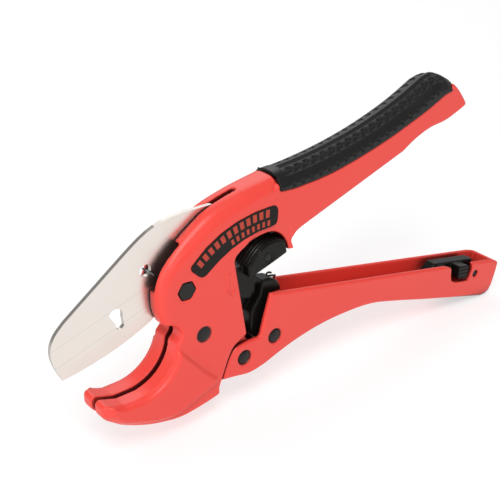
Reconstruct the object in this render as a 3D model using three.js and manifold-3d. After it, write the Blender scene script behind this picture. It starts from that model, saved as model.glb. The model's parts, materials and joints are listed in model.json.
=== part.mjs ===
// Ratchet shears for plastic pipe: a one-piece cast body with fixed handle and slotted jaw, a pivoting
// blade with ratchet teeth, a moving handle that carries the feed pawl, a release lever and an end latch.
// Units are millimetres. The model is drawn with the blade pivot at (0, 0, 0), +X towards the handle ends,
// +Z up and the tool's middle plane at y = 0. At the end the whole tool is moved so that the origin lies
// at the centre of its bounding box.
import * as THREE from 'three';
import { mergeVertices, toCreasedNormals } from 'three/addons/utils/BufferGeometryUtils.js';
import Module from 'manifold-3d';

const wasm = await Module();
wasm.setup();

// ---------------------------------------------------------------- driving dimensions
const BODY_WIDTH = 18.5;              // cast body and moving handle, across the flat sides
const JAW_WIDTH = 22.5;               // raised pads on both sides of the jaw
const EDGE_RADIUS = 0.9;              // casting edges
const DOME_RADIUS = 4.2;              // softer rounding along the nose and the dome
const BLADE_THICKNESS = 2.0;
const SLOT_WIDTH = 2.7;               // slot that the blade swings in
const CAVITY_WIDTH = 9.2;             // hollow for the springs and pawls
const CHANNEL_WIDTH = 13.5;           // inside of the moving handle
const LUG_HALF_WIDTH = 6.5;           // body tail between the handle's cheeks
const GAP = 0.3;                      // clearance between a piece and the neighbour that shapes it
const RUNNING_GAP = 0.06;             // radial clearance of pins and bushes
const PIPE_MAX = 42;                  // largest pipe that fits the jaw
const MIN_EDGE = 0.02;                // shorter outline edges are dropped

const PIVOT = [0, 0];                 // blade pivot
const SPRING_PIN = [8.5, -25];        // anchors the blade spring
const RELEASE_PIN = [45.5, 1.5];      // release lever turns here
const HANDLE_PIN = [31.7, -46.8];     // moving handle turns here
const PAWL_PIN = [50, -42];           // feed pawl turns here, carried by the moving handle
const LATCH_PIN = [194, -57.5];       // end latch turns here, carried by the moving handle

const BOLT_RADIUS = 2.5;
const BUSH_RADIUS = 4.0;
const HEX_RADIUS = 4.6;               // bolt head and nut, centre to corner
const HEAD_DEPTH = 3.4;
const PIN_RADIUS = 3.3;               // handle pin and pawl pin
const SPRING_PIN_RADIUS = 3.5;
const SMALL_PIN_RADIUS = 2.0;         // release pin and latch pin
const TOOTH_RADIUS = 22;              // ratchet tooth tips on the blade tail
const TOOTH_DEPTH = 1.9;
const TOOTH_COUNT = 11;
const TOOTH_PITCH = 7;                // degrees
const FIRST_TOOTH = -46;              // degrees, lowest tooth at rest
const BRACKET_WIDTH = 7.2;            // tongue of the body inside the release lever
const GRIP_WIDTH = 19.7;
const GRIP_CORE_WIDTH = 12.2;
const GRIP_RADIUS = 4.5;              // rounding along the top of the grip
const LEVER_WIDTH = 18.2;
const LEVER_HOLLOW = 11.4;            // room between the release lever's cheeks
const PAWL_WIDTH = 8.4;
const LATCH_WIDTH = 6.4;
const BLADE_TIP = [-58.8, -26];
const BLADE_HEEL = [-10.5, -12];
const GRIND_HEIGHT = 9;               // height of the ground band above the cutting edge
const GRIND_SAG = 3.2;                // how far the cutting edge bows below its chord
const EDGE_FLAT = 0.12;               // half the thickness left at the cutting edge

// ---------------------------------------------------------------- materials
function material(color, roughness, metalness) {
  return new THREE.MeshStandardMaterial({ color, roughness, metalness });
}
const redPaint = material(0xe8483c, 0.42, 0.0);
const blackRubber = material(0x1d1d1e, 0.75, 0.0);
const blackPlastic = material(0x232324, 0.5, 0.0);
const blackLabel = material(0x2b2522, 0.45, 0.0);
const blackSteel = material(0x2a2a2c, 0.4, 0.8);
const bladeSteel = material(0xd6d2cc, 0.22, 1.0);
const springSteel = material(0x9a9a9c, 0.35, 1.0);
const bronze = material(0xa9824e, 0.45, 1.0);

// ---------------------------------------------------------------- shape helpers
// An outline in the x-z plane from corners [x, z, radius]; a corner without a radius stays sharp.
function outline(corners) {
  const shape = new THREE.Shape();
  corners.forEach(([x, z, radius = 0], index) => {
    const corner = new THREE.Vector2(x, z);
    const before = new THREE.Vector2(...corners.at(index - 1).slice(0, 2)).sub(corner);
    const after = new THREE.Vector2(...corners[(index + 1) % corners.length].slice(0, 2)).sub(corner);
    const angle = Math.abs(Math.atan2(before.cross(after), before.dot(after)));
    const setback = Math.min(radius / Math.tan(angle / 2), before.length() * 0.49, after.length() * 0.49);
    const start = corner.clone().add(before.setLength(setback));
    const end = corner.clone().add(after.setLength(setback));
    if (index === 0) {
      shape.moveTo(start.x, start.y);
    } else {
      shape.lineTo(start.x, start.y);
    }
    if (radius > 0) {
      shape.quadraticCurveTo(x, z, end.x, end.y);
    }
  });
  return shape;
}

function hexagon(centre, radius) {
  const corners = [];
  for (let side = 0; side < 6; side += 1) {
    const angle = THREE.MathUtils.degToRad(55 + 60 * side);
    corners.push([centre[0] + radius * Math.cos(angle), centre[1] + radius * Math.sin(angle)]);
  }
  return outline(corners);
}

// The points of a path without repeats, so that every edge has a length.
function cleanPoints(path, curveSegments) {
  const points = path.getPoints(curveSegments);
  return points.filter((point, index) => point.distanceTo(points.at(index - 1)) > MIN_EDGE);
}

// A plate: an outline in the x-z plane given a width along y. The bevel eats into the outline's edges.
function plate(shape, yLow, yHigh, { bevel = 0, bevelSegments = 2, curveSegments = 6 } = {}) {
  const clean = new THREE.Shape(cleanPoints(shape, curveSegments));
  clean.holes = shape.holes.map((hole) => new THREE.Path(cleanPoints(hole, curveSegments)));
  const geometry = new THREE.ExtrudeGeometry(clean, {
    depth: yHigh - yLow - 2 * bevel,
    bevelEnabled: bevel > 0,
    bevelThickness: bevel,
    bevelSize: bevel,
    bevelOffset: -bevel,
    bevelSegments,
  });
  geometry.rotateX(Math.PI / 2);
  geometry.translate(0, yHigh - bevel, 0);
  return geometry;
}

function centred(shape, width, options) {
  return plate(shape, -width / 2, width / 2, options);
}

// A turned piece on an axis along y: profile points are [radius, y].
function turned(centre, profile, segments = 24) {
  const points = profile.map(([radius, y]) => new THREE.Vector2(radius, y));
  const geometry = new THREE.LatheGeometry(points, segments);
  geometry.translate(centre[0], 0, centre[1]);
  return geometry;
}

// A pin along y with softly domed ends.
function pin(centre, radius, yLow, yHigh, dome = 0.5, segments = 24) {
  return turned(centre, [
    [0, yLow],
    [radius * 0.6, yLow + dome * 0.25],
    [radius, yLow + dome],
    [radius, yHigh - dome],
    [radius * 0.6, yHigh - dome * 0.25],
    [0, yHigh],
  ], segments);
}

// Round wire along a smooth curve through the points.
function wire(points, radius, steps, sides = 6) {
  const curve = new THREE.CatmullRomCurve3(points.map((p) => new THREE.Vector3(...p)), false, 'centripetal');
  const section = new THREE.Shape();
  section.absarc(0, 0, radius, 0, 2 * Math.PI);
  return new THREE.ExtrudeGeometry(section, { steps, extrudePath: curve, curveSegments: sides / 2 });
}

// Points of a coil about an axis along y, from one angle to another (degrees).
function coil(centre, radius, fromAngle, toAngle, fromY, toY) {
  const count = Math.ceil(Math.abs(toAngle - fromAngle) / 30);
  const points = [];
  for (let i = 0; i <= count; i += 1) {
    const angle = THREE.MathUtils.degToRad(fromAngle + ((toAngle - fromAngle) * i) / count);
    const y = fromY + ((toY - fromY) * i) / count;
    points.push([centre[0] + radius * Math.cos(angle), y, centre[1] + radius * Math.sin(angle)]);
  }
  return points;
}

// ---------------------------------------------------------------- joining and cutting
function solid(geometry) {
  const bare = geometry.clone();
  bare.deleteAttribute('normal');
  bare.deleteAttribute('uv');
  const merged = mergeVertices(bare, 1e-4);
  const corners = merged.index.array;
  const triVerts = [];
  for (let i = 0; i < corners.length; i += 3) {
    const [a, b, c] = corners.slice(i, i + 3);
    if (a !== b && b !== c && c !== a) {
      triVerts.push(a, b, c);
    }
  }
  const mesh = new wasm.Mesh({
    numProp: 3,
    vertProperties: new Float32Array(merged.attributes.position.array),
    triVerts: new Uint32Array(triVerts),
  });
  return new wasm.Manifold(mesh);
}

function geometryOf(manifold) {
  const mesh = manifold.getMesh();
  const geometry = new THREE.BufferGeometry();
  geometry.setAttribute('position', new THREE.BufferAttribute(new Float32Array(mesh.vertProperties), 3));
  geometry.setIndex(new THREE.BufferAttribute(new Uint32Array(mesh.triVerts), 1));
  return geometry;
}

function join(...geometries) {
  return geometryOf(geometries.map(solid).reduce((a, b) => a.add(b)));
}

function cut(geometry, ...tools) {
  return geometryOf(tools.map(solid).reduce((a, b) => a.subtract(b), solid(geometry)));
}

function common(a, b) {
  return geometryOf(solid(a).intersect(solid(b)));
}

function part(name, geometry, look) {
  const mesh = new THREE.Mesh(toCreasedNormals(geometry, Math.PI / 6), look);
  mesh.name = name;
  return mesh;
}

// ---------------------------------------------------------------- cast body
const DOME = [
  [-14.2, -6], [-14.2, 3], [-11, 11.5], [-4, 19], [5.6, 26], [15.8, 31.8], [32, 36], [50, 38.6],
];
const GRIP_TOP = [[70, 41], [91, 43.9], [111.5, 48.5], [132, 55.1], [148, 62.3]];
const GRIP_BOTTOM = [[149, 51.2], [140, 47.8], [120, 41.3], [100, 36.3], [80, 32.8], [60, 31.9]];
const GRIP_COVER = 2.4;               // rubber over the handle core
const JAW_SEAT = { centre: [-27, -23.6], radius: PIPE_MAX / 2 + 0.2 };

function spline(path, points) {
  path.splineThru(points.map(([x, z]) => new THREE.Vector2(x, z)));
}

function bodyOutline() {
  const seat = JAW_SEAT;
  const shape = new THREE.Shape();
  shape.moveTo(-12, -13.4);
  spline(shape, DOME);
  shape.lineTo(51.5, 38.6);
  shape.lineTo(51.5, 37.2);
  spline(shape, GRIP_TOP.map(([x, z]) => [x, z - GRIP_COVER]));
  shape.quadraticCurveTo(157, 62.5, 163.5, 58);
  shape.quadraticCurveTo(167.5, 55, 173.3, 46.4);
  shape.lineTo(172.4, 45);
  spline(shape, [[160, 40.6], [148, 39], [138, 35.6], [130, 31.3]]);
  shape.lineTo(66, 10.8);
  shape.quadraticCurveTo(60, 9, 60, 4.5);
  shape.lineTo(61.2, 1);
  shape.absarc(RELEASE_PIN[0], RELEASE_PIN[1], 12.1, 0, Math.PI / 2);
  shape.quadraticCurveTo(35, 13.6, 27.6, 7.8);
  shape.lineTo(26.6, 5.6);
  shape.lineTo(33.3, -34.6);
  shape.lineTo(30.6, -35.6);
  spline(shape, [[25.4, -38.9], [22.6, -43.6], [20.4, -48.8], [17.2, -57.2]]);
  shape.lineTo(17.2, -61);
  spline(shape, [[8, -62.9], [-4, -64.2], [-14, -62.8], [-24, -60], [-34.9, -55.2], [-41.6, -50.8]]);
  shape.quadraticCurveTo(-44.8, -48.8, -45.2, -46.4);
  shape.lineTo(-45.2, -43.4);
  shape.quadraticCurveTo(-44.8, -41.4, -42.6, -41.8);
  shape.lineTo(-40, -42.9);
  shape.lineTo(-34.4, -44.6);
  shape.quadraticCurveTo(-31, -45, seat.centre[0], seat.centre[1] - seat.radius);
  shape.absarc(seat.centre[0], seat.centre[1], seat.radius, -Math.PI / 2, -0.08);
  spline(shape, [[-3.6, -22.9], [-3.3, -20], [-4.6, -17.4], [-7.4, -15]]);
  return shape;
}

// The dome and nose get a bigger edge radius: this wide block is only exact along them.
function softDome() {
  const shape = new THREE.Shape();
  shape.moveTo(-12.4, -14);
  spline(shape, DOME);
  shape.lineTo(56, 50);
  shape.lineTo(200, 90);
  shape.lineTo(200, -90);
  shape.lineTo(-60, -90);
  shape.lineTo(-60, -14);
  return centred(shape, BODY_WIDTH, { bevel: DOME_RADIUS, bevelSegments: 3, curveSegments: 3 });
}

function gripOutline(lift = 0) {
  const shape = new THREE.Shape();
  shape.moveTo(51.8, 32.6 + lift);
  shape.lineTo(51.8, 39.9);
  spline(shape, GRIP_TOP);
  shape.bezierCurveTo(153, 64.8, 159, 63.4, 163.2, 60);
  shape.lineTo(161.6, 56.8);
  spline(shape, GRIP_BOTTOM);
  return shape;
}

function jawPad() {
  const seat = JAW_SEAT;
  const shape = new THREE.Shape();
  shape.moveTo(-4.4, -29);
  shape.lineTo(8, -44);
  shape.lineTo(15.6, -51.2);
  shape.lineTo(13.6, -53.4);
  spline(shape, [[5, -56.4], [-8, -60.6], [-20, -59], [-34.9, -53.6], [-41, -50]]);
  shape.lineTo(-44.4, -47.2);
  shape.lineTo(-44.4, -43.8);
  shape.lineTo(-42.4, -42.4);
  shape.lineTo(-40, -43.4);
  shape.lineTo(-34.4, -45.2);
  shape.lineTo(seat.centre[0], seat.centre[1] - seat.radius - 0.5);
  shape.absarc(seat.centre[0], seat.centre[1], seat.radius + 0.5, -1.45, -0.25);
  return centred(shape, JAW_WIDTH, { bevel: 1.3, bevelSegments: 1, curveSegments: 5 });
}

function tailLug() {
  const [px, pz] = HANDLE_PIN;
  const shape = new THREE.Shape();
  shape.moveTo(14, -56);
  shape.lineTo(17, -57.3);
  shape.lineTo(24.5, -55);
  shape.absarc(px, pz, 8, 3.9, 2 * Math.PI + 1.1);
  shape.lineTo(33.2, -35.4);
  shape.lineTo(16, -36);
  return plate(shape, -LUG_HALF_WIDTH, 2.3, { bevel: 0.6, bevelSegments: 1 });
}

// The bracket inside the release lever, with the small rounded nub below it.
function leverBracket() {
  const [px, pz] = RELEASE_PIN;
  const shape = new THREE.Shape();
  shape.moveTo(59.6, 4.4);
  shape.lineTo(px, pz + 3.4);
  shape.absarc(px, pz, 3.4, Math.PI / 2, 1.6 * Math.PI);
  shape.lineTo(54.4, -2.2);
  shape.absarc(56.6, -2.7, 2.1, Math.PI, 1.9 * Math.PI);
  shape.lineTo(60.4, 0.8);
  return centred(shape, BRACKET_WIDTH, { bevel: 0.5, bevelSegments: 1 });
}

function bladeSlot() {
  const shape = outline([
    [-80, 60], [33, 60], [33.4, 33.5, 3], [38.8, 24, 6], [38.2, 13.4, 2], [31, 7], [26, -20],
    [0, -32], [-3, -34], [-8, -75], [-80, -75],
  ]);
  return centred(shape, SLOT_WIDTH);
}

// Hollow between the side walls, open at the nose where the spring leg reaches the blade.
function springPocket() {
  return outline([
    [-22, 2.5], [-22, 16], [-1.4, 22.6, 1], [2.4, 18.4, 1], [14, 12, 3], [25, 5.5], [40, 3],
    [40, -33], [24, -33, 4], [4, -31, 4], [1, -12, 3], [-9.5, -9.5, 5], [-10.5, 2],
  ]);
}

function bodyCasting() {
  const half = BODY_WIDTH / 2;
  const plain = centred(bodyOutline(), BODY_WIDTH, { bevel: EDGE_RADIUS, bevelSegments: 1, curveSegments: 5 });
  const rounded = common(plain, softDome());
  const whole = join(rounded, jawPad(), tailLug(), leverBracket());
  const cuts = [bladeSlot(), centred(springPocket(), CAVITY_WIDTH)];
  for (const side of [-1, 1]) {
    const inner = side * GRIP_CORE_WIDTH / 2;
    const outer = side * (half + 3);
    cuts.push(plate(gripOutline(), Math.min(inner, outer), Math.max(inner, outer), { curveSegments: 3 }));
    const face = side * (half + 1);
    const seatDepth = side * (half - HEAD_DEPTH - 0.6);
    cuts.push(plate(hexagon(PIVOT, HEX_RADIUS + GAP), Math.min(face, seatDepth), Math.max(face, seatDepth)));
  }
  cuts.push(turned(PIVOT, bore(BOLT_RADIUS + RUNNING_GAP, -half, half)));
  cuts.push(turned(PIVOT, bore(BUSH_RADIUS + RUNNING_GAP, -CAVITY_WIDTH / 2 - 0.1, CAVITY_WIDTH / 2 + 0.1)));
  cuts.push(turned(SPRING_PIN, bore(SPRING_PIN_RADIUS + RUNNING_GAP, -half - 1, half + 1)));
  cuts.push(turned(HANDLE_PIN, bore(PIN_RADIUS + RUNNING_GAP, -half - 1, half + 1)));
  cuts.push(turned(RELEASE_PIN, bore(SMALL_PIN_RADIUS + RUNNING_GAP, -half, half)));
  cuts.push(plate(labelOutline(), -half - 1, -half + 0.5, { curveSegments: 5 }));
  cuts.push(centred(handleHollow(), 11.5, { curveSegments: 3 }));
  return cut(whole, ...cuts);
}

// Profile of a plain bore along y, for turned().
function bore(radius, yLow, yHigh) {
  return [[0, yLow], [radius, yLow], [radius, yHigh], [0, yHigh]];
}

// The fixed handle is hollow from below.
function handleHollow() {
  const shape = new THREE.Shape();
  shape.moveTo(68, 8);
  shape.lineTo(68, 27);
  spline(shape, [[84, 27.4], [104, 31.6], [124, 37], [144, 44.5], [158, 51]]);
  shape.lineTo(163, 49);
  shape.lineTo(166, 36);
  shape.lineTo(130, 22);
  return shape;
}

function labelOutline() {
  const shape = new THREE.Shape();
  shape.moveTo(3.2, 11.6);
  shape.bezierCurveTo(15, 23, 30, 27.2, 47.4, 26.8);
  shape.quadraticCurveTo(50.7, 26.4, 50.7, 23.4);
  shape.lineTo(50.4, 19.2);
  shape.quadraticCurveTo(50, 16.9, 47.4, 16.9);
  shape.bezierCurveTo(33, 17.3, 21.5, 13, 10.6, 4.7);
  shape.quadraticCurveTo(8.4, 3.3, 6.4, 5.2);
  shape.lineTo(3, 8.6);
  shape.quadraticCurveTo(1.7, 10.2, 3.2, 11.6);
  return shape;
}

function sideLabel() {
  const half = BODY_WIDTH / 2;
  return plate(labelOutline(), -half - 0.12, -half + 0.4, { curveSegments: 5 });
}

function gripCover() {
  const sides = centred(gripOutline(0.4), GRIP_WIDTH, { bevel: 0.6, bevelSegments: 1, curveSegments: 3 });
  const deep = new THREE.Shape();
  deep.moveTo(46, 0);
  deep.lineTo(46, 40.6);
  deep.lineTo(51.8, 39.9);
  spline(deep, GRIP_TOP);
  deep.bezierCurveTo(153, 64.8, 159, 63.4, 164, 59.4);
  deep.lineTo(172, 52);
  deep.lineTo(172, 0);
  const round = centred(deep, GRIP_WIDTH, { bevel: GRIP_RADIUS, bevelSegments: 3, curveSegments: 3 });
  const outer = common(sides, round);
  const shape = new THREE.Shape();
  shape.moveTo(40, 0);
  shape.lineTo(40, 37.2 + GAP);
  shape.lineTo(51.5, 37.2 + GAP);
  spline(shape, GRIP_TOP.map(([x, z]) => [x, z - GRIP_COVER + GAP]));
  shape.quadraticCurveTo(157, 62.5 + GAP, 163.5 + GAP, 58 + GAP);
  shape.lineTo(180, 50);
  shape.lineTo(180, 0);
  const core = centred(shape, GRIP_CORE_WIDTH + 0.2, { curveSegments: 3 });
  return cut(outer, core);
}

// ---------------------------------------------------------------- blade
function bladeOutline() {
  const shape = new THREE.Shape();
  shape.moveTo(...BLADE_HEEL);
  shape.bezierCurveTo(-22, -18.6, -38, -24.2, ...BLADE_TIP);
  shape.bezierCurveTo(-61.6, -20, -64.2, -14, -63.2, -9);
  shape.bezierCurveTo(-62.2, -4, -59, -1.6, -55.5, 1.4);
  shape.lineTo(-30, 19.3);
  shape.bezierCurveTo(-17, 28.4, -11, 33, 4, 33.2);
  shape.lineTo(20, 32.6);
  shape.quadraticCurveTo(21.6, 32.2, 21, 30);
  shape.lineTo(16.6, 16.4);
  for (let tooth = TOOTH_COUNT - 1; tooth >= 0; tooth -= 1) {
    const tip = THREE.MathUtils.degToRad(FIRST_TOOTH + TOOTH_PITCH * tooth);
    const root = tip - THREE.MathUtils.degToRad(TOOTH_PITCH * 0.22);
    const inner = TOOTH_RADIUS - TOOTH_DEPTH;
    shape.lineTo(TOOTH_RADIUS * Math.cos(tip), TOOTH_RADIUS * Math.sin(tip));
    shape.lineTo(inner * Math.cos(root), inner * Math.sin(root));
  }
  shape.lineTo(9, -15.4);
  shape.quadraticCurveTo(2, -17, -4, -11);
  shape.lineTo(...BLADE_HEEL);
  const anchor = new THREE.Path();
  anchor.absarc(-15.6, 12, 2.9, 0, 2 * Math.PI);
  const window = new THREE.Path();
  window.absarc(-31.4, -4.6, 3.5, -0.35, Math.PI - 0.35);
  window.absarc(-29.6, -9.4, 2.2, Math.PI - 0.35, 2 * Math.PI - 0.35);
  const pivot = new THREE.Path();
  pivot.absarc(PIVOT[0], PIVOT[1], BUSH_RADIUS + GAP, 0, 2 * Math.PI);
  shape.holes.push(anchor, window, pivot);
  return shape;
}

// The blade is a flat plate with a thin ground edge along the cutting curve.
function blade() {
  const body = centred(bladeOutline(), BLADE_THICKNESS, { curveSegments: 8 });
  const grinds = [-1, 1].map((side) => {
    const section = new THREE.Shape();
    section.moveTo(side * EDGE_FLAT, -1);
    section.lineTo(side * EDGE_FLAT, 0);
    section.lineTo(side * (BLADE_THICKNESS / 2 + 0.1), GRIND_HEIGHT * 1.1);
    section.lineTo(side * (BLADE_THICKNESS / 2 + 2), GRIND_HEIGHT * 1.1);
    section.lineTo(side * (BLADE_THICKNESS / 2 + 2), -1);
    return sweptAlongEdge(section);
  });
  return cut(body, ...grinds);
}

// Sweeps a section (x across the blade, y up from the edge) along the straight chord of the cutting edge.
function sweptAlongEdge(section) {
  const [tipX, tipZ] = BLADE_TIP;
  const [heelX, heelZ] = BLADE_HEEL;
  const length = Math.hypot(heelX - tipX, heelZ - tipZ);
  const geometry = new THREE.ExtrudeGeometry(section, { depth: length + 8, bevelEnabled: false });
  geometry.translate(0, -GRIND_SAG, -4);
  geometry.applyMatrix4(new THREE.Matrix4().makeBasis(
    new THREE.Vector3(0, 1, 0),
    new THREE.Vector3(0, 0, 1),
    new THREE.Vector3(1, 0, 0),
  ));
  geometry.rotateY(-Math.atan2(heelZ - tipZ, heelX - tipX));
  geometry.translate(tipX, 0, tipZ);
  return geometry;
}

// ---------------------------------------------------------------- blade pivot
function pivotBolt() {
  const half = BODY_WIDTH / 2;
  const head = plate(hexagon(PIVOT, HEX_RADIUS), -half, -half + HEAD_DEPTH, { bevel: 0.35, bevelSegments: 1 });
  return join(head, pin(PIVOT, BOLT_RADIUS, -half + 1, half - 0.6, 0.4));
}

function pivotNut() {
  const half = BODY_WIDTH / 2;
  const blank = plate(hexagon(PIVOT, HEX_RADIUS), half - HEAD_DEPTH, half, { bevel: 0.35, bevelSegments: 1 });
  return cut(blank, turned(PIVOT, bore(BOLT_RADIUS + RUNNING_GAP, 0, half + 1)));
}

function ring(centre, inner, outer, yLow, yHigh) {
  return turned(centre, [[inner, yLow], [outer, yLow], [outer, yHigh], [inner, yHigh], [inner, yLow]]);
}

function pivotBush() {
  const half = CAVITY_WIDTH / 2 - 0.05;
  return ring(PIVOT, BOLT_RADIUS + RUNNING_GAP, BUSH_RADIUS, -half, half);
}

function thrustWasher(side) {
  const near = side * (BLADE_THICKNESS / 2 + 0.05);
  const far = side * (BLADE_THICKNESS / 2 + 0.85);
  return ring(PIVOT, BUSH_RADIUS + RUNNING_GAP, 6.5, Math.min(near, far), Math.max(near, far));
}

// One and a third turns around the bush, one leg hooked into the blade, the other behind the spring pin.
function bladeSpring() {
  const winding = coil(PIVOT, 7.4, 150, -330, -2.5, -4.0);
  return wire([
    [-15.6, 1.3, 12.2],
    [-15.4, -0.6, 12.1],
    [-14.2, -2.3, 11.6],
    ...winding,
    [11.2, -4.0, -9],
    [12.9, -4.0, -22],
    [12.8, -4.0, -26.5],
    [10.6, -4.0, -29.2],
  ], 0.5, 56);
}

// ---------------------------------------------------------------- release lever
function releaseLever() {
  const shape = new THREE.Shape();
  shape.moveTo(34.6, -5.4);
  shape.lineTo(34.2, -0.6);
  spline(shape, [[38, 4.6], [42.4, 7.6], [47, 8.9], [52.4, 8.6], [55.8, 6.4]]);
  shape.lineTo(57, 0.3);
  shape.lineTo(49.2, -2.2);
  shape.lineTo(38.8, -5.1);
  const pad = centred(shape, LEVER_WIDTH, { bevel: 0.7, bevelSegments: 1, curveSegments: 2 });
  const arm = plate(outline([
    [40, 3], [36, 0.4], [33.6, -1.2, 1], [26, -1.6, 2], [22.6, -4.6], [23.4, -7.8, 1], [29, -12.4, 3],
    [34, -17.6, 3], [38.2, -19.4, 1.2], [41, -16.4, 2], [42.6, -8, 2], [42.6, -3],
  ]), -4.2, -GAP);
  const hollow = outline([
    [43.4, -12], [42.8, -2.4, 0.5], [41.4, -0.8, 0.5], [41.4, 3.2, 1], [43.4, 5.8, 2], [51, 6.2, 2],
    [60, 4.6], [60, -12],
  ]);
  return cut(
    join(pad, arm),
    centred(hollow, LEVER_HOLLOW),
    turned(RELEASE_PIN, bore(SMALL_PIN_RADIUS + RUNNING_GAP, -LEVER_WIDTH, LEVER_WIDTH)),
  );
}

function releaseSpring() {
  const winding = coil(RELEASE_PIN, 2.9, 170, -350, 4.2, 5.1);
  return wire([[42.3, 4.2, -0.2], [42.3, 4.2, 1], ...winding, [50.5, 5.1, 3.4], [55.6, 5.1, 3.2]], 0.25, 44);
}

// ---------------------------------------------------------------- moving handle
const RIM_SLOPE = Math.tan(THREE.MathUtils.degToRad(-12.6));

function rimHeight(x) {
  return -18 + RIM_SLOPE * (x - 48);
}

function handleOutline() {
  const shape = new THREE.Shape();
  shape.moveTo(47.4, -18.2);
  shape.lineTo(205, rimHeight(205));
  shape.quadraticCurveTo(211, -55, 213.4, -56.6);
  shape.quadraticCurveTo(212, -64, 209.3, -70);
  shape.quadraticCurveTo(207, -75.4, 200.5, -74);
  shape.lineTo(152, -59.2);
  spline(shape, [[132, -52.8], [114, -47.9], [96, -46.5], [78, -47.2], [60, -50.4], [44, -55.4]]);
  spline(shape, [[35, -56.8], [26, -55.3], [18.8, -54.2]]);
  shape.lineTo(20.2, -50.2);
  spline(shape, [[22.4, -45], [24.6, -41.4], [27, -39.6], [31, -39]]);
  shape.lineTo(41, -39);
  shape.lineTo(43.4, -31);
  return shape;
}

function channelOutline() {
  const shape = new THREE.Shape();
  shape.moveTo(0, 0);
  shape.lineTo(0, -80);
  shape.lineTo(45, -80);
  shape.lineTo(45, -51.6);
  spline(shape, [[60, -47], [78, -43.9], [96, -43.2], [114, -44.6], [132, -49.5], [152, -56]]);
  shape.lineTo(200, -70.6);
  shape.quadraticCurveTo(205, -71.8, 206.4, -68.4);
  shape.lineTo(210, -56);
  shape.lineTo(212, -20);
  return shape;
}

// Cut in the near cheek only, for the latch's thumb bar.
function latchNotch() {
  const shape = outline([
    [169.8, -30], [169.8, -45.6], [173.6, -47.2, 2], [174.2, -55.4, 2.4], [178, -57.6, 2], [188.4, -60, 1.4],
    [190.9, -54.4, 1], [191.2, -30],
  ]);
  return plate(shape, -BODY_WIDTH / 2 - 1, -CHANNEL_WIDTH / 2 + 1);
}

function movingHandle() {
  const half = BODY_WIDTH / 2;
  const blank = centred(handleOutline(), BODY_WIDTH, { bevel: EDGE_RADIUS, bevelSegments: 1, curveSegments: 3 });
  const holes = [];
  for (const centre of [HANDLE_PIN, PAWL_PIN]) {
    holes.push(turned(centre, bore(PIN_RADIUS + RUNNING_GAP, -half - 1, half + 1)));
    holes.push(turned(centre, bore(PIN_RADIUS + 0.9, -half - 1, -half + 0.8)));
    holes.push(turned(centre, bore(PIN_RADIUS + 0.9, half - 0.8, half + 1)));
  }
  holes.push(turned(LATCH_PIN, bore(SMALL_PIN_RADIUS + RUNNING_GAP, -half - 1, half + 1)));
  return cut(blank, centred(channelOutline(), CHANNEL_WIDTH), latchNotch(), ...holes);
}

function handleSpring() {
  const winding = coil(HANDLE_PIN, 5.2, 120, -620, 3.2, 6.0);
  return wire([[28, 3.2, -39.4], [28.8, 3.2, -41], ...winding, [41, 6.0, -47.6], [47, 6.0, -48.6]], 0.55, 72);
}

// ---------------------------------------------------------------- feed pawl
function feedPawl() {
  const [px, pz] = PAWL_PIN;
  const shape = new THREE.Shape();
  shape.moveTo(46.2, -12.6);
  shape.lineTo(52, -13.9);
  shape.quadraticCurveTo(56.8, -15.6, 57.6, -21.6);
  shape.lineTo(52, -21.4);
  shape.quadraticCurveTo(48.6, -28, 54.6, -36);
  shape.absarc(px, pz, 6, 0.9, -2.4, true);
  shape.lineTo(42.4, -43);
  shape.quadraticCurveTo(39.2, -41, 39, -36);
  shape.lineTo(39.2, -27.4);
  shape.lineTo(44.8, -20.4);
  const body = centred(shape, PAWL_WIDTH, { bevel: 0.6, bevelSegments: 1, curveSegments: 5 });
  const nose = plate(outline([
    [46, -17.6], [38, -15.6, 3], [30, -14.8, 3], [19.2, -13.4], [20.4, -17.2, 1], [30, -22.4, 4], [42, -30],
  ]), GAP, PAWL_WIDTH / 2 - 0.4);
  return cut(join(body, nose), turned(PAWL_PIN, bore(PIN_RADIUS + RUNNING_GAP, -PAWL_WIDTH, PAWL_WIDTH)));
}

function pawlSpring() {
  const winding = coil(PAWL_PIN, 4.5, -60, 400, 5.8, 4.9);
  return wire([
    [60, 5.8, -45.2],
    [55.5, 5.8, -45.8],
    ...winding,
    [57.6, 4.9, -30],
    [59.8, 4.8, -23],
    [60.2, 4.2, -19],
    [58.8, 2.2, -17],
    [57, 0, -15.4],
    [55.2, -2, -14],
    [52.6, -2, -13.2],
    [50.6, -2, -12.7],
    [49.9, -2, -11.9],
    [50.4, -2, -11.1],
    [51.8, -2, -11.2],
    [53.2, -2, -12],
  ], 0.5, 64);
}

// ---------------------------------------------------------------- end latch
function latch() {
  const [px, pz] = LATCH_PIN;
  const shape = new THREE.Shape();
  shape.moveTo(160.2, -50.2);
  shape.lineTo(166.8, -45);
  shape.lineTo(197.6, -51.8);
  shape.absarc(px, pz, 3.8, 0.2, -2.4, true);
  shape.lineTo(187, -56);
  shape.lineTo(170.4, -51.6);
  const stem = centred(shape, LATCH_WIDTH, { bevel: 0.5, bevelSegments: 1, curveSegments: 3 });
  const bar = plate(outline([
    [180, -48.4, 0.6], [179.8, -56, 0.8], [186.8, -57.8, 0.8], [187.6, -54.6, 0.8], [188, -50.6, 0.6],
  ]), -BODY_WIDTH / 2, 0, { bevel: 0.4, bevelSegments: 1 });
  return cut(join(stem, bar), turned(LATCH_PIN, bore(SMALL_PIN_RADIUS + RUNNING_GAP, -LATCH_WIDTH, LATCH_WIDTH)));
}

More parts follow.
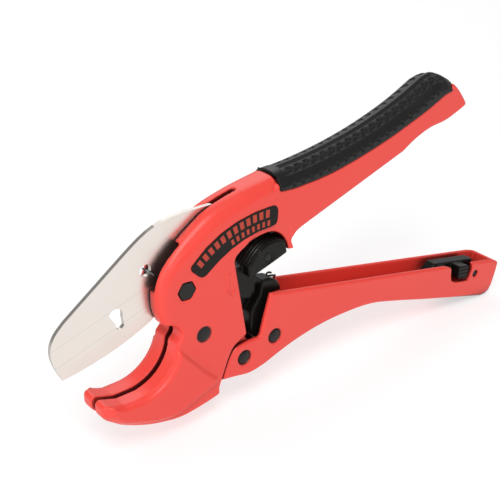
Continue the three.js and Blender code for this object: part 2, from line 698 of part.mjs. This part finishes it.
// ---------------------------------------------------------------- assembly
const half = BODY_WIDTH / 2;
const tool = new THREE.Group();
tool.add(
  part('body_casting', bodyCasting(), redPaint),
  part('grip_cover', gripCover(), blackRubber),
  part('side_label', sideLabel(), blackLabel),
  part('pivot_bolt', pivotBolt(), blackSteel),
  part('pivot_nut', pivotNut(), blackSteel),
  part('pivot_bush', pivotBush(), bronze),
  part('thrust_washer_near', thrustWasher(-1), bronze),
  part('thrust_washer_far', thrustWasher(1), bronze),
  part('spring_pin', pin(SPRING_PIN, SPRING_PIN_RADIUS, -half, half, 0.35), blackSteel),
  part('release_lever', releaseLever(), blackPlastic),
  part('release_pin', pin(RELEASE_PIN, SMALL_PIN_RADIUS, -half + 0.2, half - 0.2, 0.25, 16), blackSteel),
  part('release_spring', releaseSpring(), springSteel),
  part('blade', blade(), bladeSteel),
  part('blade_spring', bladeSpring(), springSteel),
  part('moving_handle', movingHandle(), redPaint),
  part('handle_pivot_pin', pin(HANDLE_PIN, PIN_RADIUS, -half + 0.2, half - 0.2, 0.6), blackSteel),
  part('handle_spring', handleSpring(), springSteel),
  part('pawl_pin', pin(PAWL_PIN, PIN_RADIUS, -half + 0.2, half - 0.2, 0.6), blackSteel),
  part('feed_pawl', feedPawl(), blackPlastic),
  part('pawl_spring', pawlSpring(), blackSteel),
  part('end_latch', latch(), blackPlastic),
  part('latch_pin', pin(LATCH_PIN, SMALL_PIN_RADIUS, -half + 0.8, half - 0.8, 0.25, 16), blackSteel),
);

// The origin goes to the centre of the tool's bounding box.
const middle = new THREE.Box3().setFromObject(tool, true).getCenter(new THREE.Vector3());
tool.position.copy(middle).negate();

export default tool;
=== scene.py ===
import json
import math

import bmesh
import bpy
import numpy as np
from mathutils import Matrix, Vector


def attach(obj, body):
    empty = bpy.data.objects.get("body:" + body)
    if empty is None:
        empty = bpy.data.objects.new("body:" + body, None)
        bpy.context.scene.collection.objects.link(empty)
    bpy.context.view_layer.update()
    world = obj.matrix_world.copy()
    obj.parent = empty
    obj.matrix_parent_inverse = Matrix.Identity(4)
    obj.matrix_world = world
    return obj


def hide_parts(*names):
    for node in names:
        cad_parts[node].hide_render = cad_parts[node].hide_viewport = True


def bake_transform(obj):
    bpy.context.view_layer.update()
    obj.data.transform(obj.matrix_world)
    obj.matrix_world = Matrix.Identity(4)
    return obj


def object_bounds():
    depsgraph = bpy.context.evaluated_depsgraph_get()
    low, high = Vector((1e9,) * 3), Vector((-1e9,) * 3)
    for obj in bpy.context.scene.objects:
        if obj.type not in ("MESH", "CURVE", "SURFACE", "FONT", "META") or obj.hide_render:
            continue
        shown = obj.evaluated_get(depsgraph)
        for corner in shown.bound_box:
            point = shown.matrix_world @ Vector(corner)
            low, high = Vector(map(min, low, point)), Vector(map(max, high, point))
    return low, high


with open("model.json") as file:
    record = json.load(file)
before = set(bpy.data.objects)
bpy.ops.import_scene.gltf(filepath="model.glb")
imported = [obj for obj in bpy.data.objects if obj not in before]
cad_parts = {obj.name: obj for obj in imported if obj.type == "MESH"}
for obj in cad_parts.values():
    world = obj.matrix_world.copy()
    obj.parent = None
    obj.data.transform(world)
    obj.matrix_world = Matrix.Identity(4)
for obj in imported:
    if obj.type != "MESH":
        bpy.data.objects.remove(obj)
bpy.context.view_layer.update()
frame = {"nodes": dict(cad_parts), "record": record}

MM = 0.001
JOINTS = {joint["name"]: Vector(joint["pos_m"]) for joint in frame["record"]["behaviour"]["joints"]}
PIVOT = JOINTS["blade_swing"]

# Shapes are in millimetres, and (x, z) places are measured from the blade pivot.
HALF_BODY = 9.25                       # half the width of the cast body
HALF_GRIP = 9.85
GRIP_ROUNDING = 4.5                    # edge radius along the top of the CAD grip
PAWL_PIN = (50, -42)
SPRING_PIN = (8.5, -25)
PIN_RADIUS = 3.3                       # handle pin and pawl pin
SPRING_PIN_RADIUS = 3.5
BLADE_HEEL = (-10.5, -12)              # ends of the cutting edge
BLADE_TIP = (-58.8, -26)
BACK_CENTRE = (24, 4)                  # the body's back is rounded by angle about this place
GUARD_RADIUS = 12.1                    # inside of the guard, about the release lever's pin
LABEL_CENTRE = (42.8, -31.8)           # the label's rows are arcs about this place


def flat(joint):
    """A joint's (x, z) in millimetres from the blade pivot."""
    offset = (JOINTS[joint] - PIVOT) / MM
    return np.array([offset.x, offset.z])


def place(x, y, z):
    """A place in metres, from millimetres off the blade pivot."""
    return PIVOT + Vector((x, y, z)) * MM


# ---------------------------------------------------------------- materials
class Finish:
    """A small wrapper that builds one procedural material."""

    def __init__(self, name, color, roughness, metallic=0.0, specular=0.5):
        self.material = bpy.data.materials.new(name)
        self.material.use_nodes = True
        self.nodes = self.material.node_tree.nodes
        self.links = self.material.node_tree.links
        self.shader = self.nodes["Principled BSDF"]
        self.shader.inputs["Base Color"].default_value = (*color, 1)
        self.shader.inputs["Roughness"].default_value = roughness
        self.shader.inputs["Metallic"].default_value = metallic
        self.shader.inputs["Specular IOR Level"].default_value = specular
        self.position = self.nodes.new("ShaderNodeTexCoord").outputs["Object"]
        self.heights = []

    def math(self, operation, a, b=0.0, c=0.0):
        node = self.nodes.new("ShaderNodeMath")
        node.operation = operation
        for socket, value in zip(node.inputs, (a, b, c)):
            if isinstance(value, bpy.types.NodeSocket):
                self.links.new(value, socket)
            else:
                socket.default_value = value
        return node.outputs[0]

    def noise(self, scale, detail=2.0, stretch=None, turn=0.0):
        """Noise about 1/scale metres across, stretched along local axes after a turn about Y."""
        node = self.nodes.new("ShaderNodeTexNoise")
        node.inputs["Scale"].default_value = scale
        node.inputs["Detail"].default_value = detail
        source = self.position
        if stretch is not None:
            mapping = self.nodes.new("ShaderNodeMapping")
            mapping.vector_type = "TEXTURE"
            mapping.inputs["Rotation"].default_value = (0, turn, 0)
            mapping.inputs["Scale"].default_value = stretch
            self.links.new(source, mapping.inputs["Vector"])
            source = mapping.outputs[0]
        self.links.new(source, node.inputs["Vector"])
        return node.outputs["Fac"]

    def axes(self):
        """The x, y and z sockets of the piece's own coordinates, metres."""
        split = self.nodes.new("ShaderNodeSeparateXYZ")
        self.links.new(self.position, split.inputs[0])
        return split.outputs

    def polar(self, x, z):
        """Distance in metres and angle in radians round an axis along y at (x, z)."""
        centre = place(x, 0, z)
        axes = self.axes()
        dx = self.math("SUBTRACT", axes[0], centre.x)
        dz = self.math("SUBTRACT", axes[2], centre.z)
        squares = self.math("ADD", self.math("MULTIPLY", dx, dx), self.math("MULTIPLY", dz, dz))
        return self.math("SQRT", squares), self.math("ARCTAN2", dz, dx)

    def band(self, coordinate, centre, half_width):
        """1 on a line of a coordinate in metres, fading to 0 at half_width millimetres from it."""
        distance = self.math("ABSOLUTE", self.math("SUBTRACT", coordinate, centre * MM))
        nearness = self.math("SUBTRACT", 1.0, self.math("DIVIDE", distance, half_width * MM))
        return self.math("MAXIMUM", nearness, 0.0)

    def drift(self, amount, scale):
        """Slow change of gloss over the surface."""
        base = self.shader.inputs["Roughness"].default_value
        swing = self.math("MULTIPLY_ADD", self.noise(scale), 2 * amount, base - amount)
        self.links.new(swing, self.shader.inputs["Roughness"])

    def tint(self, factor, color):
        """Mixes another colour into the base colour by a factor socket."""
        mix = self.nodes.new("ShaderNodeMix")
        mix.data_type = "RGBA"
        base = self.shader.inputs["Base Color"]
        if base.is_linked:
            self.links.new(base.links[0].from_socket, mix.inputs[6])
        else:
            mix.inputs[6].default_value = base.default_value
        mix.inputs[7].default_value = (*color, 1)
        self.links.new(factor, mix.inputs[0])
        self.links.new(mix.outputs[2], base)

    def tint_between(self, factor, highest, color):
        """Tints by a factor that is first kept between 0 and a highest value."""
        self.tint(self.math("MINIMUM", self.math("MAXIMUM", factor, 0.0), highest), color)

    def height(self, socket, amount):
        """Adds to the relief, amount in millimetres."""
        self.heights.append(self.math("MULTIPLY", socket, amount * MM))

    def crevices(self, color, strength):
        """Shade in concave corners, from the mesh's own curvature, which is 0.5 on a flat face."""
        pointiness = self.nodes.new("ShaderNodeNewGeometry").outputs["Pointiness"]
        concave = self.math("SUBTRACT", 0.49, pointiness)
        self.tint_between(self.math("MULTIPLY", concave, strength), 0.6, color)

    def shade_hollows(self, color, reach):
        """Painted shade that thickens from half-open places to deep hollows, reach in millimetres."""
        openness = self.nodes.new("ShaderNodeAmbientOcclusion")
        openness.samples = 8
        openness.inputs["Distance"].default_value = reach * MM
        closed = self.math("SUBTRACT", 1.0, openness.outputs["AO"])
        self.tint_between(self.math("MULTIPLY_ADD", closed, 2.4, -0.5), 0.95, color)

    def finished(self):
        """Joins the relief into one bump and returns the material."""
        if self.heights:
            total = self.heights[0]
            for height in self.heights[1:]:
                total = self.math("ADD", total, height)
            bump = self.nodes.new("ShaderNodeBump")
            bump.inputs["Distance"].default_value = 1.0
            self.links.new(total, bump.inputs["Height"])
            self.links.new(bump.outputs[0], self.shader.inputs["Normal"])
        return self.material


def ring_shade(finish, centre, radius):
    """Painted shade for the dark gap round a pin head."""
    distance, _ = finish.polar(*centre)
    gap = finish.band(distance, radius + 0.25, 0.75)
    finish.tint(finish.math("MULTIPLY", gap, 0.9), (0.03, 0.004, 0.004))


def red_paint():
    """Satin powder coat with a fine orange-peel skin."""
    finish = Finish("red_paint", (0.80, 0.052, 0.036), 0.42)
    finish.height(finish.noise(900, 1.0), 0.035)
    finish.height(finish.noise(3200, 2.0), 0.008)
    finish.drift(0.05, 90)
    finish.tint(finish.math("MULTIPLY", finish.noise(60), 0.12), (0.70, 0.045, 0.03))
    finish.crevices((0.42, 0.02, 0.014), 5.0)
    # Painted shade deep in hollows, darkest where least open.
    finish.shade_hollows((0.04, 0.003, 0.003), 11.0)
    # Painted shade in the gaps round the pin heads.
    ring_shade(finish, PAWL_PIN, PIN_RADIUS)
    ring_shade(finish, flat("handle_squeeze"), PIN_RADIUS)
    ring_shade(finish, SPRING_PIN, SPRING_PIN_RADIUS)
    return finish.finished()


def black_rubber():
    finish = Finish("black_rubber", (0.0065, 0.006, 0.0055), 0.42, specular=0.28)
    finish.height(finish.noise(2600, 3.0), 0.03)
    finish.drift(0.1, 120)
    finish.tint(finish.math("MULTIPLY", finish.noise(240, 3.0), 0.2), (0.014, 0.014, 0.015))
    return finish.finished()


def black_plastic():
    finish = Finish("black_plastic", (0.0048, 0.0045, 0.0038), 0.3, specular=0.17)
    finish.height(finish.noise(2000, 2.0), 0.012)
    finish.drift(0.07, 150)
    finish.tint(finish.math("MULTIPLY", finish.noise(300, 3.0), 0.2), (0.011, 0.011, 0.010))
    return finish.finished()


def black_steel():
    """Black oxide on turned and hexagonal steel."""
    finish = Finish("black_steel", (0.0075, 0.007, 0.0065), 0.32, metallic=0.2, specular=0.3)
    finish.height(finish.noise(2400, 3.0), 0.01)
    finish.drift(0.08, 300)
    finish.tint(finish.math("MULTIPLY", finish.noise(500, 4.0), 0.3), (0.022, 0.019, 0.017))
    return finish.finished()


def wire_steel():
    finish = Finish("spring_steel", (0.16, 0.16, 0.165), 0.28, metallic=1.0)
    finish.height(finish.noise(3000, 2.0), 0.006)
    finish.drift(0.08, 400)
    return finish.finished()


def bronze():
    finish = Finish("bronze", (0.5, 0.34, 0.16), 0.45, metallic=1.0)
    finish.height(finish.noise(5000, 3.0), 0.012)
    finish.drift(0.1, 300)
    return finish.finished()


def blade_steel():
    """Ground steel: fine lines along the cutting edge and the limits of two grinding passes."""
    finish = Finish("blade_steel", (0.80, 0.755, 0.70), 0.3, metallic=1.0)
    chord = math.atan2(BLADE_HEEL[1] - BLADE_TIP[1], BLADE_HEEL[0] - BLADE_TIP[0])
    heel = place(BLADE_HEEL[0], 0, BLADE_HEEL[1])
    axes = finish.axes()
    along_x = finish.math("MULTIPLY", finish.math("SUBTRACT", axes[0], heel.x), -math.sin(chord))
    along_z = finish.math("MULTIPLY", finish.math("SUBTRACT", axes[2], heel.z), math.cos(chord))
    rise = finish.math("ADD", along_x, along_z)
    lines = finish.math("ADD", finish.band(rise, 7.6, 0.35), finish.band(rise, 16.5, 0.3))
    finish.height(finish.noise(1500, 3.0, stretch=(14, 1, 1), turn=-chord), 0.012)
    finish.height(lines, -0.02)
    finish.drift(0.07, 70)
    finish.tint(finish.math("MULTIPLY", lines, 0.28), (0.35, 0.33, 0.31))
    finish.tint(finish.math("MULTIPLY", finish.noise(90, 3.0), 0.22), (0.62, 0.58, 0.54))
    # Painted shade: the blade's edge faces are darker than its flat sides.
    finish.tint(finish.math("MULTIPLY", edge_faces(finish), 0.7), (0.34, 0.32, 0.30))
    return finish.finished()


def edge_faces(finish):
    """1 where a plate's face looks sideways, 0 on its two flat sides."""
    split = finish.nodes.new("ShaderNodeSeparateXYZ")
    finish.links.new(finish.nodes.new("ShaderNodeTexCoord").outputs["Normal"], split.inputs[0])
    return finish.math("LESS_THAN", finish.math("ABSOLUTE", split.outputs[1]), 0.6)


def printed_row(finish, radius, angle, row):
    """1 on the bars of one row; its sizes are millimetres, pitch is radians, first and last degrees."""
    phase = finish.math("FRACT", finish.math("DIVIDE", angle, row["pitch"]))
    bar = finish.math("LESS_THAN", phase, row["share"])
    offset = finish.math("ABSOLUTE", finish.math("SUBTRACT", radius, row["radius"] * MM))
    level = finish.math("LESS_THAN", offset, row["half_height"] * MM)
    after = finish.math("GREATER_THAN", angle, math.radians(row["first"]))
    before = finish.math("LESS_THAN", angle, math.radians(row["last"]))
    within = finish.math("MULTIPLY", after, before)
    return finish.math("MULTIPLY", finish.math("MULTIPLY", bar, level), within)


def black_label():
    """A plain printed film: two rows of blank red bars that follow its curve."""
    finish = Finish("black_label", (0.010, 0.008, 0.006), 0.34, specular=0.14)
    finish.height(finish.noise(3000, 2.0), 0.006)
    finish.drift(0.06, 200)
    radius, angle = finish.polar(*LABEL_CENTRE)
    upper = {"radius": 55.6, "half_height": 1.9, "pitch": 0.066, "share": 0.6, "first": 85.6, "last": 132}
    lower = {"radius": 50.9, "half_height": 1.35, "pitch": 0.058, "share": 0.5, "first": 85, "last": 112}
    for row in (upper, lower):
        bars = printed_row(finish, radius, angle, row)
        finish.tint(finish.math("MULTIPLY", bars, 0.8), (0.55, 0.065, 0.04))
    return finish.finished()


FINISHES = {
    "red_paint": red_paint(),
    "black_rubber": black_rubber(),
    "black_plastic": black_plastic(),
    "black_label": black_label(),
    "black_steel": black_steel(),
    "blade_steel": blade_steel(),
    "spring_steel": wire_steel(),
    "bronze": bronze(),
}
SLOTS = {entry["node"]: entry["material_slot"] for entry in frame["record"]["subparts"]}


def dress(obj, slot):
    obj.data.materials.clear()
    obj.data.materials.append(FINISHES[slot])


# ---------------------------------------------------------------- mesh tools
def smoothstep(low, high, value):
    t = np.clip((value - low) / (high - low), 0, 1)
    return t * t * (3 - 2 * t)


def evaluated(obj):
    """The object's mesh with its modifiers applied."""
    graph = bpy.context.evaluated_depsgraph_get()
    return bpy.data.meshes.new_from_object(obj.evaluated_get(graph))


def weld(obj):
    """Joins the CAD mesh's facets along their shared edges."""
    joined = obj.modifiers.new("weld", "WELD")
    joined.merge_threshold = 0.001 * MM


def drop_crumbs(mesh):
    """Keeps only the biggest connected shell of a mesh."""
    ends = np.empty(2 * len(mesh.edges), dtype=np.int32)
    mesh.edges.foreach_get("vertices", ends)
    a, b = ends.reshape(-1, 2).T
    shell = np.arange(len(mesh.vertices))
    while (shell[a] != shell[b]).any():
        lowest = np.minimum(shell[a], shell[b])
        np.minimum.at(shell, shell[a], lowest)
        np.minimum.at(shell, shell[b], lowest)
        shell = shell[shell]
    crumbs = np.flatnonzero(shell != np.bincount(shell).argmax())
    if len(crumbs):
        work = bmesh.new()
        work.from_mesh(mesh)
        work.verts.ensure_lookup_table()
        bmesh.ops.delete(work, geom=[work.verts[index] for index in crumbs], context="VERTS")
        work.to_mesh(mesh)
        work.free()


def resurfaced(node, name, voxel, passes):
    """A new object: the CAD node's solid on an even grid of small faces, with softened edges."""
    mesh = frame["nodes"][node].data.copy()
    obj = bpy.data.objects.new(name, mesh)
    bpy.context.scene.collection.objects.link(obj)
    grid = obj.modifiers.new("grid", "REMESH")
    grid.mode = "VOXEL"
    grid.voxel_size = voxel * MM
    soften = obj.modifiers.new("soften", "SMOOTH")
    soften.factor = 0.5
    soften.iterations = passes
    fine = evaluated(obj)
    drop_crumbs(fine)
    obj.modifiers.clear()
    obj.data = fine
    return obj


def coordinates(mesh):
    """Vertex positions in millimetres from the blade pivot, and vertex normals."""
    points = np.empty(3 * len(mesh.vertices))
    mesh.vertices.foreach_get("co", points)
    normals = np.empty(3 * len(mesh.vertices))
    mesh.vertex_normals.foreach_get("vector", normals)
    return (points.reshape(-1, 3) - np.array(PIVOT)) / MM, normals.reshape(-1, 3)


def reshape(obj, points):
    obj.data.vertices.foreach_set("co", (points * MM + np.array(PIVOT)).ravel())
    obj.data.update()


def finish_piece(obj, node, body):
    """Gives a replacement piece its material, chosen by its slot, and its body."""
    obj.data.polygons.foreach_set("use_smooth", [True] * len(obj.data.polygons))
    dress(obj, SLOTS[node])
    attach(obj, body)
    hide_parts(node)


def distance_to_path(points, path):
    """Distance from each (x, z) point to a polyline, and how far along it the nearest place is."""
    best = np.full(len(points), 1e9)
    along = np.zeros(len(points))
    travelled = 0.0
    for a, b in zip(path[:-1], path[1:]):
        step = b - a
        length = np.hypot(*step)
        t = np.clip((points - a) @ step / length ** 2, 0, 1)
        gap = np.hypot(*(points - a - t[:, None] * step).T)
        closer = gap < best
        best[closer] = gap[closer]
        along[closer] = travelled + t[closer] * length
        travelled += length
    return best, along


# ---------------------------------------------------------------- cast body
def crown(y, width, depth):
    """How far a rounded back falls away at a distance y from the middle, mm."""
    return depth * (np.abs(y) / width) ** 3


def round_back(points, first, last, depth, layer):
    """Presses the outer layer of the casting's back towards a rounded section, ending in a soft crease.

    first and last are angles in degrees about BACK_CENTRE, depth and layer are millimetres.
    """
    y = points[:, 1]
    away = points[:, [0, 2]] - BACK_CENTRE
    angle = np.degrees(np.arctan2(away[:, 1], away[:, 0])) % 360
    radius = np.hypot(*away.T)
    degrees = np.arange(first - 4, last + 5)
    middle = np.abs(y) < 5.6
    back = np.array([radius[middle & (np.abs(angle - at) < 1.5)].max(initial=1.0) for at in degrees])
    inset = np.interp(angle, degrees, back) - radius
    fade = smoothstep(first - 2, first + 1, angle) * smoothstep(last, last - 50, angle)
    inward = crown(y, HALF_BODY, depth) * np.clip(1 - inset / layer, 0, 1) * fade
    narrower = 0.7 * np.clip(1 - inset / (layer + 1.5), 0, 1) * fade * smoothstep(5.5, HALF_BODY, np.abs(y))
    pressed = points.copy()
    pressed[:, [0, 2]] -= away / radius[:, None] * inward[:, None]
    pressed[:, 1] -= np.sign(y) * narrower
    return pressed


def bullet_tips(points):
    """Rounds the ends of the two jaw lobes in plan."""
    x, y, z = points.T
    near_tip = smoothstep(-35, -44, x) * smoothstep(-36, -39, z)
    rounded = points.copy()
    rounded[:, 0] += 0.11 * np.clip(np.abs(np.abs(y) - 4.5) - 1.5, 0, None) ** 2 * near_tip
    return rounded


def lever_recess(points):
    """A shallow hollow in the side faces round the release lever, for the thumb."""
    x, y, z = points.T
    outward = np.hypot(*(points[:, [0, 2]] - flat("release_press")).T) - GUARD_RADIUS
    inside = smoothstep(24, 30, x) * smoothstep(2, 8, z) * smoothstep(4.5, 2.5, outward)
    scooped = points.copy()
    scooped[:, 1] -= np.sign(y) * 0.9 * inside * smoothstep(6.8, HALF_BODY, np.abs(y))
    return scooped


def arrow_mark(points):
    """A thin raised arrow on the near face, beside the release lever."""
    arrow = np.array([[23.6, 0.4], [22, 0.2], [22.8, -8], [21.2, -7.6], [23.8, -11], [26, -8]])
    gap, _ = distance_to_path(points[:, [0, 2]], arrow)
    near_face = points[:, 1] < -HALF_BODY + 1
    raised = points.copy()
    raised[:, 1] -= 0.45 * smoothstep(0.55, 0.15, gap) * near_face
    return raised


def build_body():
    obj = resurfaced("body_casting", "cast_body", 0.45, 6)
    points, _ = coordinates(obj.data)
    points = round_back(points, first=50, last=190, depth=3.4, layer=7.0)
    points = bullet_tips(points)
    points = lever_recess(points)
    points = arrow_mark(points)
    reshape(obj, points)
    finish_piece(obj, "body_casting", "frame")


# ---------------------------------------------------------------- rubber grip
def repeats(along, share, offset=0.0):
    """1 inside short lengths along the grip, spaced 5.2 mm apart."""
    phase = ((along / 5.2 + offset) % 1) - 0.5
    return smoothstep(share / 2 + 0.07, share / 2 - 0.07, np.abs(phase))


def grip_pattern(along, depth, y):
    """Relief of the grip: a middle ridge, rows of pockets beside it and ticks on the flanks."""
    across = np.abs(y)
    top = smoothstep(3.4, 2.2, depth)
    ridge = 0.45 * smoothstep(0.75, 0.3, across) * top
    valley = -0.35 * smoothstep(3.2, 2.4, np.abs(across - 4.3)) * top
    pockets = -0.7 * repeats(along, 0.5) * smoothstep(1.8, 1.4, np.abs(across - 4.7)) * top
    ticks = -0.6 * repeats(along, 0.3, 0.3) * smoothstep(1.7, 1.2, np.abs(depth - 5.0))
    return ridge + valley + pockets + ticks * smoothstep(8.6, 9.2, across)


def top_line(points):
    """The (x, z) curve along the top of the grip."""
    x, _, z = points.T
    columns = np.arange(53.0, 164.0, 1.0)
    top = np.array([z[np.abs(x - column) < 0.8].max() for column in columns])
    return np.column_stack([columns, top])


def grip_crown(depth, y):
    """How far the top of the grip drops so that its section is a crown instead of a rounded box."""
    into_edge = np.clip(np.abs(y) - (HALF_GRIP - GRIP_ROUNDING), 0, GRIP_ROUNDING)
    rounding = GRIP_ROUNDING - np.sqrt(np.clip(GRIP_ROUNDING ** 2 - into_edge ** 2, 0, None))
    return np.clip(crown(y, HALF_GRIP, 5.5) - rounding, 0, None) * np.clip(1 - (depth - rounding) / 5.0, 0, 1)


def build_grip():
    obj = resurfaced("grip_cover", "rubber_grip", 0.36, 3)
    points, normals = coordinates(obj.data)
    y = points[:, 1]
    depth, along = distance_to_path(points[:, [0, 2]], top_line(points))
    end = along.max()
    away_from_ends = smoothstep(3, 5, along) * smoothstep(end - 5, end - 8, along)
    outside = (np.abs(y) > 7) | (depth < 1.4)
    relief = grip_pattern(along, depth, y) * away_from_ends * outside
    shaped = points + normals * relief[:, None]
    shaped[:, 2] -= grip_crown(depth, y) * outside
    reshape(obj, shaped)
    finish_piece(obj, "grip_cover", "frame")


# ---------------------------------------------------------------- levers and handle
def grooves(coordinate, pitch, low):
    """1 in the middle of evenly spaced grooves; low sets how narrow they are, 0 to 0.8."""
    wave = 0.5 + 0.5 * np.cos(2 * np.pi * coordinate / pitch)
    return smoothstep(low, 0.8, wave)


def build_release_lever():
    """The thumb pad has grooves along its top and a sunk ring round its pin."""
    obj = resurfaced("release_lever", "thumb_lever", 0.3, 3)
    points, normals = coordinates(obj.data)
    x, y, _ = points.T
    pin_gap = np.hypot(*(points[:, [0, 2]] - flat("release_press")).T)
    top = smoothstep(0.15, 0.5, normals[:, 2]) * smoothstep(33.5, 36, x) * smoothstep(5.4, 6.2, pin_gap)
    side = (np.abs(normals[:, 1]) > 0.9) & (np.abs(y) > 8)
    ring = smoothstep(0.5, 0.15, np.abs(pin_gap - 2.9))
    relief = -0.55 * grooves(y, 1.8, 0.25) * top - 0.3 * ring * side
    reshape(obj, points + normals * relief[:, None])
    finish_piece(obj, "release_lever", "release_lever")


def build_latch():
    """The thumb bar's outer end has grooves that run along the handle."""
    obj = resurfaced("end_latch", "slide_latch", 0.26, 1)
    points, normals = coordinates(obj.data)
    x, y, z = points.T
    level = z + 0.22 * (x - 183) + 53.4
    end = smoothstep(-0.7, -0.9, normals[:, 1]) * (y < -7) * smoothstep(3.6, 3.2, np.abs(x - 183.8))
    relief = -0.45 * grooves(level, 2.1, 0.3) * end
    reshape(obj, points + normals * relief[:, None])
    finish_piece(obj, "end_latch", "end_latch")


def build_handle():
    obj = resurfaced("moving_handle", "squeeze_handle", 0.5, 4)
    finish_piece(obj, "moving_handle", "moving_handle")


def build_pawl():
    obj = resurfaced("feed_pawl", "ratchet_pawl", 0.32, 3)
    finish_piece(obj, "feed_pawl", "feed_pawl")


# ---------------------------------------------------------------- springs
BLADE_SPRING_ENDS = ("frame", "blade", place(8, 0, -22), place(-10, 0, 6))
PAWL_SPRING_ENDS = ("moving_handle", "feed_pawl", place(58, 0, -44), place(54, 0, -38))


def build_spring(node, name, ends):
    """Round wire from the CAD solid. ends is its body, or, for a spring between two bodies, a tuple whose
    bodies and places are not used; such a spring stays fixed where it stands.
    """
    obj = bpy.data.objects.new(name, frame["nodes"][node].data.copy())
    bpy.context.scene.collection.objects.link(obj)
    weld(obj)
    rounder = obj.modifiers.new("round", "SUBSURF")
    rounder.levels = rounder.render_levels = 2
    fine = evaluated(obj)
    obj.modifiers.clear()
    obj.data = fine
    points, normals = coordinates(fine)
    reshape(obj, points + 0.07 * normals)          # rounding the section thins the wire, so it is grown again
    fine.polygons.foreach_set("use_smooth", [True] * len(fine.polygons))
    dress(obj, SLOTS[node])
    if isinstance(ends, str):
        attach(obj, ends)
    else:
        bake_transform(obj)
    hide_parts(node)


# ---------------------------------------------------------------- kept CAD nodes
def soften_edges(node, width):
    """A fine bevel that catches the light on a node kept from the CAD."""
    obj = frame["nodes"][node]
    weld(obj)
    bevel = obj.modifiers.new("edge", "BEVEL")
    bevel.width = width * MM
    bevel.segments = 2
    bevel.limit_method = "ANGLE"
    bevel.angle_limit = math.radians(35)


def keep_nodes():
    for node, obj in frame["nodes"].items():
        dress(obj, SLOTS[node])
    soften_edges("blade", 0.22)
    for node in ("pivot_bolt", "pivot_nut", "spring_pin", "handle_pivot_pin", "pawl_pin"):
        soften_edges(node, 0.12)


# ---------------------------------------------------------------- stage
def aim(obj, target):
    obj.rotation_euler = (Vector(target) - obj.location).to_track_quat("-Z", "Y").to_euler()


def softbox(name, location, size, power):
    light = bpy.data.lights.new(name, "AREA")
    light.shape = "SQUARE"
    light.size = size
    light.energy = power
    lamp = bpy.data.objects.new(name, light)
    bpy.context.scene.collection.objects.link(lamp)
    lamp.location = location
    aim(lamp, (0, 0, 0))


def build_stage():
    low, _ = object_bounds()
    bpy.ops.mesh.primitive_plane_add(size=40, location=(0, 0, low[2] - 0.0005))
    floor = bpy.context.object
    floor.name = "floor"
    finish = Finish("floor", (0.5, 0.5, 0.5), 0.8, specular=0.1)
    finish.shader.inputs["Emission Color"].default_value = (1, 1, 1, 1)
    finish.shader.inputs["Emission Strength"].default_value = 0.55
    finish.height(finish.noise(400), 0.01)
    floor.data.materials.append(finish.finished())

    world = bpy.context.scene.world or bpy.data.worlds.new("world")
    bpy.context.scene.world = world
    world.use_nodes = True
    backdrop = world.node_tree.nodes["Background"]
    backdrop.inputs["Color"].default_value = (1, 1, 1, 1)
    backdrop.inputs["Strength"].default_value = 0.45

    softbox("key", (-0.5, -0.6, 1.0), 0.5, 9)
    softbox("side", (-1.0, -0.3, 0.35), 0.6, 2.5)
    softbox("back", (0.5, 0.9, 0.8), 0.8, 4)


def build_camera():
    data = bpy.data.cameras.new("camera")
    data.lens = 79.9
    data.sensor_width = 36
    camera = bpy.data.objects.new("camera", data)
    bpy.context.scene.collection.objects.link(camera)
    camera.location = (-0.3141, -0.3508, 0.2415)
    aim(camera, (-0.0330, 0, 0.0081))
    bpy.context.scene.camera = camera
    bpy.context.scene.view_settings.view_transform = "Standard"


keep_nodes()
build_body()
build_grip()
build_handle()
build_release_lever()
build_pawl()
build_latch()
build_spring("blade_spring", "blade_return_spring", BLADE_SPRING_ENDS)
build_spring("pawl_spring", "pawl_wire_spring", PAWL_SPRING_ENDS)
build_spring("handle_spring", "handle_wire_spring", "moving_handle")
build_spring("release_spring", "release_wire_spring", "release_lever")
build_stage()
build_camera()
